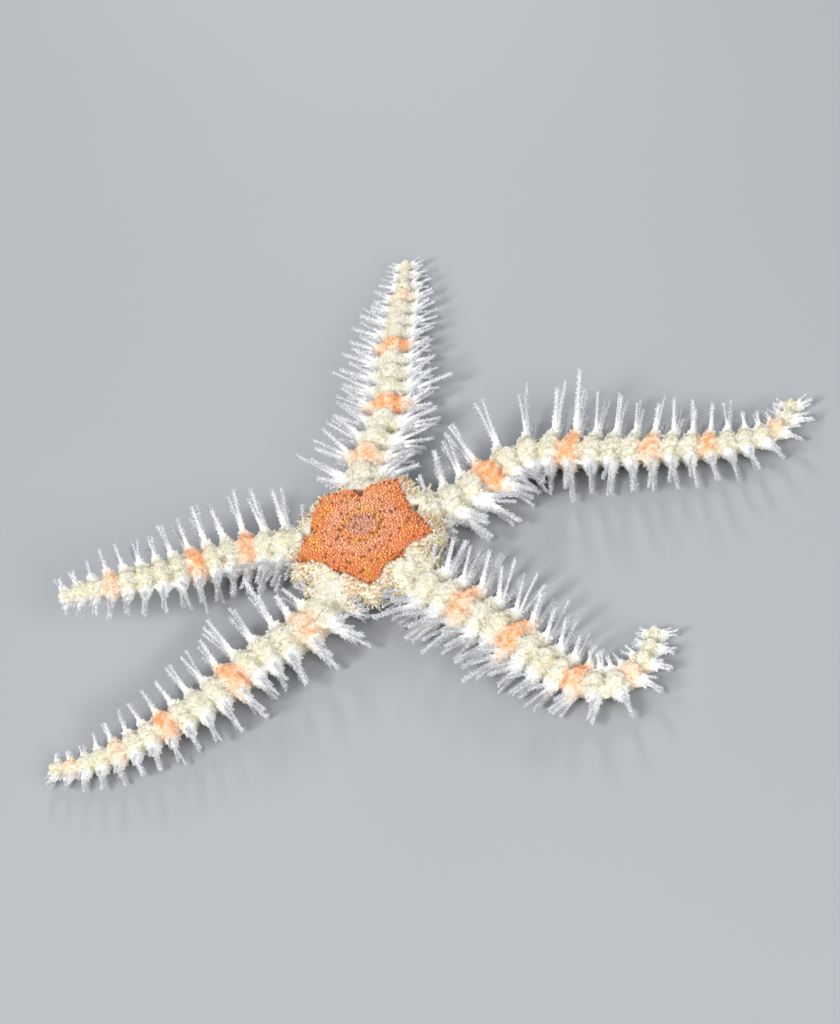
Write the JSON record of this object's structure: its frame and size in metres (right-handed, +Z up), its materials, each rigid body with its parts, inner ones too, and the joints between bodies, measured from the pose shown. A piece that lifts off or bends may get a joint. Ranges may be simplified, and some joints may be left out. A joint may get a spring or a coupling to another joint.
{
  "type": "brittle star",
  "caption": "Spiny brittle star at rest: a small rounded disc with a star-shaped patch and long jointed arms fringed with glassy spines, the left arm lifted at its end.",
  "frame": {"origin": "under the middle of the whole animal's box, on the surface that it lies on; the disc's centre is 2.55 mm towards -X and 2.69 mm towards -Y of it", "axes": "+Z up from the underside through the disc's top; +X to the side that the right arm points to; the picture looks along +Y and down"},
  "size_m": [0.05, 0.0432, 0.0049],
  "materials": {
    "disc_skin": "granular orange star on cream, satin",
    "arm_skin": "cream with orange bands and clear glassy spines, satin"
  },
  "bodies": {
    "root": {"disc": "disc_skin", "arm_right_1": "arm_skin", "arm_right_2": "arm_skin", "arm_right_3": "arm_skin", "arm_right_4": "arm_skin", "arm_back_1": "arm_skin", "arm_back_2": "arm_skin", "arm_back_3": "arm_skin", "arm_back_4": "arm_skin", "arm_left_1": "arm_skin", "arm_left_2": "arm_skin", "arm_left_3": "arm_skin", "arm_left_4": "arm_skin", "arm_front_left_1": "arm_skin", "arm_front_left_2": "arm_skin", "arm_front_left_3": "arm_skin", "arm_front_left_4": "arm_skin", "arm_front_right_1": "arm_skin", "arm_front_right_2": "arm_skin", "arm_front_right_3": "arm_skin", "arm_front_right_4": "arm_skin"}
  },
  "joints": []
}
